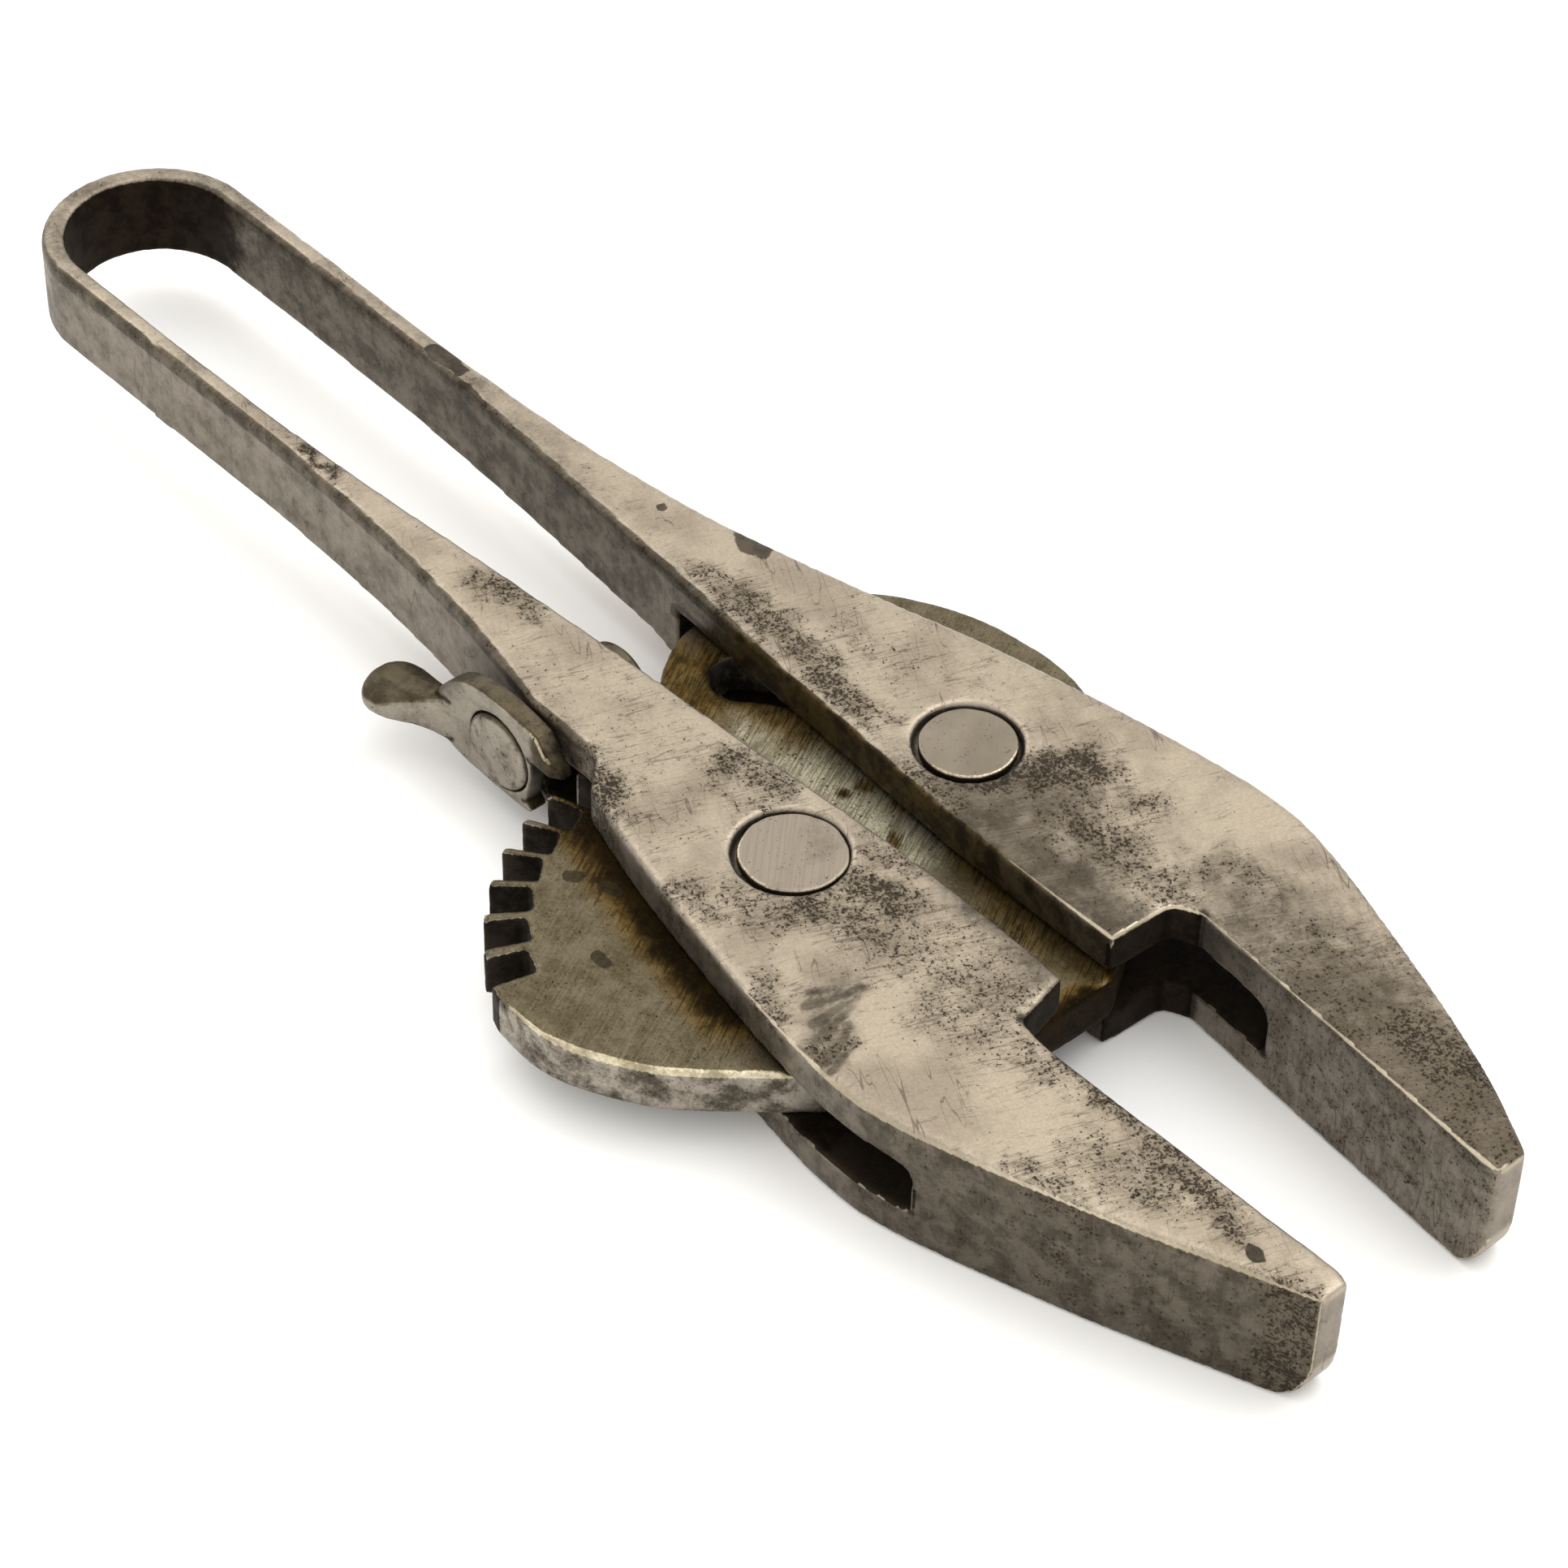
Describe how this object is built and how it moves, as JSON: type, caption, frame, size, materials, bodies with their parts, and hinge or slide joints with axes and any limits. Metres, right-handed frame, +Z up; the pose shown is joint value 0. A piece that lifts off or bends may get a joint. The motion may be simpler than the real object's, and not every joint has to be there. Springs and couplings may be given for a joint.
{
  "type": "adjustable cam wrench",
  "caption": "Antique sprung U-frame wrench: a toothed cam plate spreads and closes the two plain jaws, and a thumb pawl locks it.",
  "frame": {"origin": "middle of the footprint, on the surface that the wrench lies on", "axes": "+X from the bow to the jaw tips, +Y from the arm with the pawl to the other arm, +Z up through the flat top faces"},
  "size_m": [0.1742, 0.063, 0.0127],
  "materials": {
    "bow_spring": "bare forged steel, ground on top, dark and worn on the sides",
    "near_arm": "bare forged steel, ground top with black specks, mottled dark sides",
    "far_arm": "bare forged steel, ground top with black specks, mottled dark sides",
    "cam_plate": "grey-brown steel with sanding lines and yellow-brown rust",
    "cam_pivot_rivet": "flat ground rivet head in a dark ring",
    "follower_rivet": "flat ground rivet head in a dark ring",
    "pawl": "grey steel, olive-brown thumb tab",
    "pawl_pin": "grey-brown steel"
  },
  "bodies": {
    "bow_spring": {"bow_spring": "bow_spring"},
    "near_arm": {"near_arm": "near_arm", "cam_pivot_rivet": "cam_pivot_rivet", "pawl_pin": "pawl_pin"},
    "far_arm": {"far_arm": "far_arm", "follower_rivet": "follower_rivet"},
    "cam_plate": {"cam_plate": "cam_plate"},
    "pawl": {"pawl": "pawl"}
  },
  "joints": [
    {"name": "near_flex", "type": "hinge", "parent": "bow_spring", "child": "near_arm", "pos_m": [-0.0631, -0.00415, 0.0083], "axis": [0, 0, 1], "range_deg": [-2, 0]},
    {"name": "far_flex", "type": "hinge", "parent": "bow_spring", "child": "far_arm", "pos_m": [-0.0631, 0.01445, 0.0083], "axis": [0, 0, 1], "range_deg": [0, 2]},
    {"name": "cam_turn", "type": "hinge", "parent": "near_arm", "child": "cam_plate", "pos_m": [0.0249, -0.00495, 0.0061], "axis": [0, 0, 1], "range_deg": [-46, 0]},
    {"name": "pawl_lift", "type": "hinge", "parent": "near_arm", "child": "pawl", "pos_m": [-0.0047, -0.0109, 0.007], "axis": [0, -1, 0], "range_deg": [-12, 8]}
  ],
  "couplings": [
    {"joint": "near_flex", "follows": "cam_turn", "ratio": 0.03533},
    {"joint": "far_flex", "follows": "cam_turn", "ratio": -0.03533}
  ]
}
